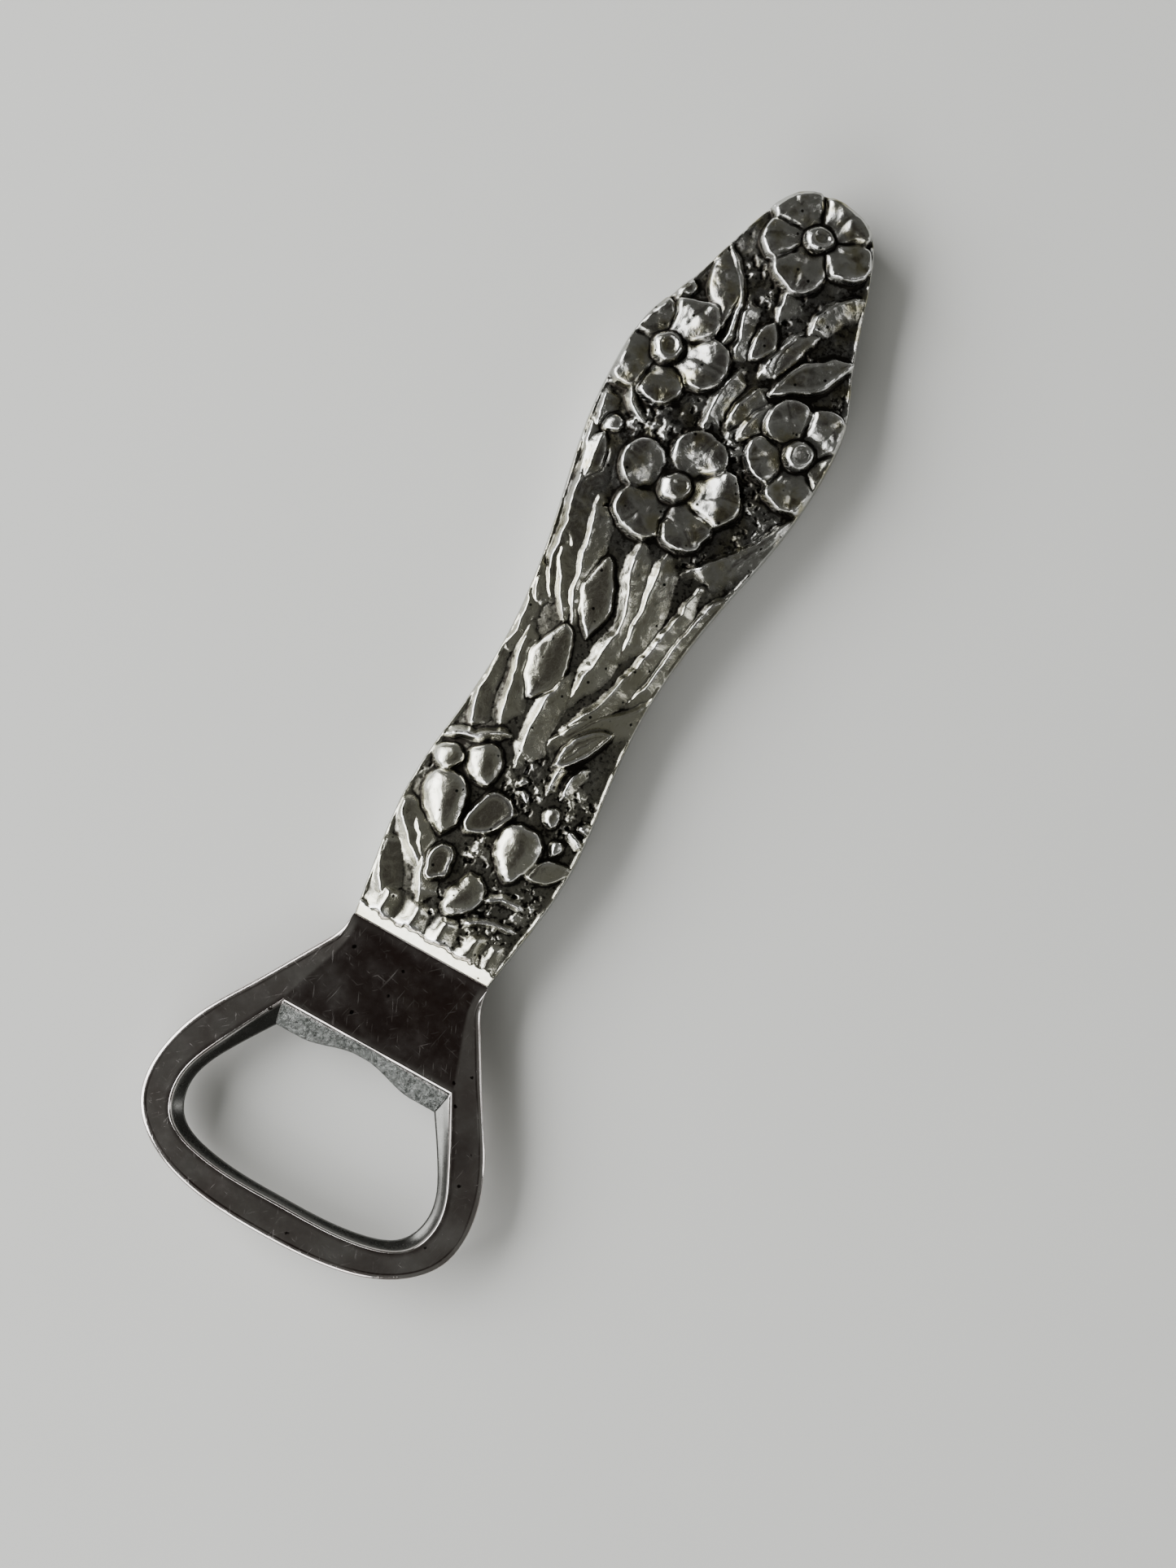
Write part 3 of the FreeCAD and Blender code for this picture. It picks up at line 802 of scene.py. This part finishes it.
# --- materials ------------------------------------------------------------------
# Base colours. A pair is the two ends of a cloudy mix.
CASTING = (0.35, 0.345, 0.32), (0.53, 0.53, 0.505)
CASTING_OLIVE = (0.36, 0.34, 0.235)
CASTING_RUBBED = (0.56, 0.545, 0.43), (0.72, 0.71, 0.62)
CASTING_BARE = (0.86, 0.86, 0.85)
CASTING_PIT = (0.03, 0.028, 0.022)
TARNISH = (0.020, 0.018, 0.015)
PLATE = (0.47, 0.425, 0.41), (0.66, 0.64, 0.625)
PLATE_PIT = (0.05, 0.04, 0.035)
FILED_LIP = (0.05, 0.055, 0.05), (0.27, 0.28, 0.27)
# Painted shade: the opening's inner wall is coloured dark where it lies in shade.
OPENING_WALL_SHADE = (0.10, 0.10, 0.095)
BACK_PLATE = (0.50, 0.50, 0.49), (0.60, 0.60, 0.59)
BEDDING = (0.32, 0.31, 0.29)
PIN_STEEL = (0.55, 0.55, 0.56)
FLOOR = (0.70, 0.705, 0.68), (0.74, 0.745, 0.72)
ROOM = (0.021, 0.015, 0.013), (0.135, 0.135, 0.125)


def new_material(name, metallic=1.0):
    """A material with its node tree and its shader."""
    material = bpy.data.materials.new(name)
    material.use_nodes = True
    tree = material.node_tree
    shader = tree.nodes["Principled BSDF"]
    shader.inputs["Metallic"].default_value = metallic
    return material, tree, shader


def node(tree, kind, **values):
    """A new shader node. Each value goes to the input of that name, or else to the setting."""
    n = tree.nodes.new(kind)
    for key, value in values.items():
        if key in n.inputs:
            n.inputs[key].default_value = value
        else:
            setattr(n, key, value)
    return n


def noise(tree, scale, detail=4.0, roughness=0.55, stretch=None, turn=0.0):
    """Noise in object space. scale is cells per millimetre, stretch lengthens them by axis."""
    place = node(tree, "ShaderNodeTexCoord")
    mapping = node(tree, "ShaderNodeMapping", vector_type="TEXTURE")
    mapping.inputs["Scale"].default_value = stretch or (1, 1, 1)
    mapping.inputs["Rotation"].default_value = (0, 0, math.radians(turn))
    tree.links.new(place.outputs["Object"], mapping.inputs["Vector"])
    tex = node(tree, "ShaderNodeTexNoise", Scale=scale * 1000, Detail=detail, Roughness=roughness)
    tree.links.new(mapping.outputs[0], tex.inputs["Vector"])
    return tex.outputs["Fac"]


def voronoi(tree, scale):
    """Distance to scattered points, in cells. scale is cells per millimetre."""
    place = node(tree, "ShaderNodeTexCoord")
    tex = node(tree, "ShaderNodeTexVoronoi", Scale=scale * 1000)
    tree.links.new(place.outputs["Object"], tex.inputs["Vector"])
    return tex.outputs["Distance"]


def ramp(tree, source, low, high, out_low=0.0, out_high=1.0):
    """Maps low to out_low and high to out_high in a straight line, and stops at both."""
    n = node(tree, "ShaderNodeMapRange")
    n.inputs["From Min"].default_value = low
    n.inputs["From Max"].default_value = high
    n.inputs["To Min"].default_value = out_low
    n.inputs["To Max"].default_value = out_high
    tree.links.new(source, n.inputs["Value"])
    return n.outputs["Result"]


def maths(tree, operation, a, b):
    """Arithmetic on sockets or numbers. Everything but a difference is kept between 0 and 1."""
    n = node(tree, "ShaderNodeMath", operation=operation, use_clamp=operation != "SUBTRACT")
    for socket, value in zip(n.inputs, (a, b)):
        if isinstance(value, (int, float)):
            socket.default_value = value
        else:
            tree.links.new(value, socket)
    return n.outputs[0]


def mix_colour(tree, factor, a, b):
    """Colour a where the factor is 0 and b where it is 1."""
    n = node(tree, "ShaderNodeMix", data_type="RGBA")
    tree.links.new(factor, n.inputs["Factor"])
    for socket, value in ((n.inputs[6], a), (n.inputs[7], b)):
        if isinstance(value, tuple):
            socket.default_value = (*value, 1)
        else:
            tree.links.new(value, socket)
    return n.outputs[2]


def bump(tree, shader, height, distance_mm, strength=1.0, normal=None):
    """Adds bump to a shader, on top of an earlier bump's normal if there is one."""
    n = node(tree, "ShaderNodeBump", Strength=strength, Distance=distance_mm * MM)
    tree.links.new(height, n.inputs["Height"])
    if normal is not None:
        tree.links.new(normal, n.inputs["Normal"])
    tree.links.new(n.outputs["Normal"], shader.inputs["Normal"])
    return n.outputs["Normal"]


def mask_of(tree, name):
    """One of the vertex masks that make_piece stored."""
    return node(tree, "ShaderNodeAttribute", attribute_name=name).outputs["Fac"]


def relief_metal():
    """Plated casting: pale and worn on the heights, tarnished in the recesses, olive in places."""
    material, tree, shader = new_material("antiqued_relief")
    recess = mask_of(tree, "recess")
    worn = mask_of(tree, "worn")
    grain = noise(tree, 2.2, 6.0, 0.65)
    broad = noise(tree, 0.25, 3.0)
    olive = noise(tree, 0.33, 3.0)
    dirt = maths(tree, "ADD", recess, ramp(tree, grain, 0.48, 0.72, 0.0, 0.35))
    clean = mix_colour(tree, ramp(tree, broad, 0.35, 0.65), *CASTING)
    clean = mix_colour(tree, ramp(tree, olive, 0.48, 0.64), clean, CASTING_OLIVE)
    rubbed = mix_colour(tree, ramp(tree, broad, 0.3, 0.7), *CASTING_RUBBED)
    clean = mix_colour(tree, mask_of(tree, "handled"), clean, rubbed)
    bright = mix_colour(tree, worn, clean, CASTING_BARE)
    pits = ramp(tree, voronoi(tree, 0.62), 0.13, 0.08)
    bright = mix_colour(tree, pits, bright, CASTING_PIT)
    colour = mix_colour(tree, ramp(tree, dirt, 0.1, 0.9), bright, TARNISH)
    tree.links.new(colour, shader.inputs["Base Color"])
    rough = ramp(tree, dirt, 0.0, 1.0, 0.10, 0.36)
    rough = maths(tree, "ADD", rough, ramp(tree, grain, 0.3, 0.7, 0.0, 0.06))
    tree.links.new(rough, shader.inputs["Roughness"])
    off_ramp = maths(tree, "SUBTRACT", 1.0, mask_of(tree, "ramp"))
    fine = maths(tree, "MULTIPLY", noise(tree, 4.0, 5.0, 0.7), off_ramp)
    soft = maths(tree, "MULTIPLY", noise(tree, 1.1, 4.0), off_ramp)
    normal = bump(tree, shader, fine, 0.03, 0.8)
    bump(tree, shader, soft, 0.07, 0.8, normal)
    return material


# Fine scratches on the head: cells per mm, how long they are drawn out, angle.
HAIRLINES = ((6.0, 20, -48), (7.0, 15, 78), (5.6, 26, -12))


def head_metal():
    """Polished plate with pits, scratches and smears. The lip is filed; the opening's wall is rougher,
    and its dark colour is painted shade.
    """
    material, tree, shader = new_material("polished_plate")
    lip = mask_of(tree, "lip")
    cloud = noise(tree, 0.22, 5.0, 0.6)
    plate = mix_colour(tree, ramp(tree, cloud, 0.36, 0.66), *PLATE)
    uneven = ramp(tree, noise(tree, 1.4, 3.0), 0.35, 0.65, -0.04, 0.05)
    pits = ramp(tree, maths(tree, "ADD", voronoi(tree, 0.36), uneven), 0.085, 0.05)
    plate = mix_colour(tree, pits, plate, PLATE_PIT)
    filed = mix_colour(tree, ramp(tree, noise(tree, 1.6, 5.0, 0.7), 0.35, 0.65), *FILED_LIP)
    wall = mask_of(tree, "wall")
    # The opening's wall gets the dark painted-shade colour.
    plate = mix_colour(tree, wall, plate, OPENING_WALL_SHADE)
    tree.links.new(mix_colour(tree, lip, plate, filed), shader.inputs["Base Color"])
    scratches = ramp(tree, noise(tree, 5.2, 2.0, 0.5, (1, 12, 1), 25), 0.675, 0.73)
    for scale, length, turn in HAIRLINES:
        hairs = ramp(tree, noise(tree, scale, 2.0, 0.5, (1, length, 1), turn), 0.68, 0.74)
        scratches = maths(tree, "MAXIMUM", scratches, hairs)
    smear = noise(tree, 0.5, 5.0, 0.6)
    rough = ramp(tree, smear, 0.3, 0.75, 0.07, 0.21)
    rough = maths(tree, "ADD", rough, ramp(tree, scratches, 0, 1, 0, 0.12))
    rough = maths(tree, "ADD", rough, ramp(tree, maths(tree, "MAXIMUM", lip, wall), 0, 1, 0, 0.13))
    tree.links.new(rough, shader.inputs["Roughness"])
    unmarked = maths(tree, "SUBTRACT", 1.0, maths(tree, "MAXIMUM", scratches, pits))
    lines = bump(tree, shader, unmarked, 0.004, 0.6)
    file_marks = maths(tree, "MULTIPLY", noise(tree, 1.8, 5.0, 0.7), lip)
    bump(tree, shader, file_marks, 0.35, 1.0, lines)
    return material


def back_metal():
    """Plain plated casting with light wear."""
    material, tree, shader = new_material("plain_plate")
    cloud = noise(tree, 0.2, 4.0)
    colour = mix_colour(tree, ramp(tree, cloud, 0.35, 0.7), *BACK_PLATE)
    tree.links.new(colour, shader.inputs["Base Color"])
    rough = ramp(tree, noise(tree, 0.9, 5.0, 0.65), 0.3, 0.75, 0.16, 0.34)
    tree.links.new(rough, shader.inputs["Roughness"])
    fine = bump(tree, shader, noise(tree, 3.0, 5.0, 0.7), 0.02, 0.6)
    bump(tree, shader, noise(tree, 0.35, 3.0), 0.12, 0.6, fine)
    return material


def hidden_material(name, colour, metallic, rough):
    """A plain, slightly uneven material for a piece inside the handle."""
    material, tree, shader = new_material(name, metallic)
    dark = tuple(c * 0.8 for c in colour)
    tree.links.new(mix_colour(tree, noise(tree, 1.0), dark, colour), shader.inputs["Base Color"])
    uneven = ramp(tree, noise(tree, 2.0), 0.3, 0.7, rough - 0.08, rough + 0.08)
    tree.links.new(uneven, shader.inputs["Roughness"])
    bump(tree, shader, noise(tree, 3.0), 0.02)
    return material


def floor_material():
    """Pale and matt."""
    material, tree, shader = new_material("pale_floor", 0.0)
    colour = mix_colour(tree, noise(tree, 0.02, 3.0), *FLOOR)
    tree.links.new(colour, shader.inputs["Base Color"])
    shader.inputs["Roughness"].default_value = 0.9
    shader.inputs["Specular IOR Level"].default_value = 0.1
    return material


# --- pieces -----------------------------------------------------------------------
front = build_front()
front.data.materials.append(relief_metal())
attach(front, "root")
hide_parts("handle_front")

back = build_back()
back.data.materials.append(back_metal())
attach(back, "root")
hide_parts("handle_back")

head = build_head()
head.data.materials.append(head_metal())
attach(head, "root")
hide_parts("opener_head")

# The nodes inside the handle keep their CAD meshes and get these materials.
HIDDEN = {
    "tang_bedding": hidden_material("bedding_resin", BEDDING, 0.0, 0.7),
    "tang_pin_lower": hidden_material("pin_steel", PIN_STEEL, 1.0, 0.35),
    "tang_pin_upper": hidden_material("pin_steel_upper", PIN_STEEL, 1.0, 0.35),
}
for name, material in HIDDEN.items():
    for material_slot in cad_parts[name].material_slots:
        material_slot.material = material


# --- stage ------------------------------------------------------------------------
# The floor's half-width and its height, in metres.
FLOOR_HALF = 4.0
FLOOR_Z = -0.0001

# Camera: almost overhead, the handle leaning to the right in the picture.
CAMERA_MM = (5.5, -30.4, 271.7)
CAMERA_TURN = (4.46, -2.86, 29.07)
CAMERA_LENS = 56.0
CAMERA_SENSOR = 36.0
CAMERA_CLIP = 0.01

# Dark patch overhead, as parts of a unit direction: its middle's shift towards the
# tip, and where it has half faded, along the handle and across it.
DARK_PATCH_Y = 0.07
DARK_PATCH_LONG = 0.32
DARK_PATCH_WIDE = 0.2

# Each softbox: name, azimuth and elevation in degrees, distance, width and height in
# metres, power in watts.
SOFTBOXES = [
    ("window_left", 167, 31, 1.2, 1.6, 0.8, 36),
    ("far_strip", 352, 20, 1.2, 0.16, 0.8, 1.4),
    ("window_low", 238, 28, 1.2, 0.8, 0.45, 7),
]


def add_floor():
    """A wide square just below the part."""
    size = FLOOR_HALF
    corners = [(-size, -size, 0), (size, -size, 0), (size, size, 0), (-size, size, 0)]
    mesh = bpy.data.meshes.new("floor")
    mesh.from_pydata(corners, [], [(0, 1, 2, 3)])
    mesh.materials.append(floor_material())
    floor = bpy.data.objects.new("floor", mesh)
    floor.location.z = FLOOR_Z
    bpy.context.scene.collection.objects.link(floor)


def add_camera():
    """The photograph's view of the part."""
    data = bpy.data.cameras.new("camera")
    data.lens = CAMERA_LENS
    data.sensor_width = CAMERA_SENSOR
    data.clip_start = CAMERA_CLIP
    camera = bpy.data.objects.new("camera", data)
    camera.location = [c * MM for c in CAMERA_MM]
    camera.rotation_euler = [math.radians(a) for a in CAMERA_TURN]
    bpy.context.scene.collection.objects.link(camera)
    bpy.context.scene.camera = camera


def picture_direction(azimuth, elevation):
    """A direction in the part's frame. Azimuth 0 is the picture's right and 90 its top."""
    turn = math.radians(azimuth + CAMERA_TURN[2])
    rise = math.radians(elevation)
    return Vector((math.cos(turn) * math.cos(rise), math.sin(turn) * math.cos(rise), math.sin(rise)))


def add_softbox(name, azimuth, elevation, distance, width, height, watts):
    """A rectangular area light that faces the part."""
    data = bpy.data.lights.new(name, "AREA")
    data.shape = "RECTANGLE"
    data.size = width
    data.size_y = height
    data.energy = watts
    light = bpy.data.objects.new(name, data)
    away = picture_direction(azimuth, elevation)
    light.location = away * distance
    light.rotation_euler = away.to_track_quat("Z", "Y").to_euler()
    bpy.context.scene.collection.objects.link(light)


def add_world():
    """Dim room with a darker patch straight above, where whoever looks down would stand."""
    world = bpy.data.worlds.new("studio")
    world.use_nodes = True
    tree = world.node_tree
    place = node(tree, "ShaderNodeTexCoord")
    patch = node(tree, "ShaderNodeMapping")
    patch.inputs["Location"].default_value = (0, -DARK_PATCH_Y / DARK_PATCH_LONG, 0)
    patch.inputs["Scale"].default_value = (1 / DARK_PATCH_WIDE, 1 / DARK_PATCH_LONG, 0)
    tree.links.new(place.outputs["Generated"], patch.inputs["Vector"])
    reach = node(tree, "ShaderNodeVectorMath", operation="LENGTH")
    tree.links.new(patch.outputs["Vector"], reach.inputs[0])
    open_room = ramp(tree, reach.outputs["Value"], 0.3, 1.7)
    shade = mix_colour(tree, open_room, *ROOM)
    tree.links.new(shade, tree.nodes["Background"].inputs["Color"])
    bpy.context.scene.world = world


add_floor()
add_camera()
add_world()
for softbox in SOFTBOXES:
    add_softbox(*softbox)
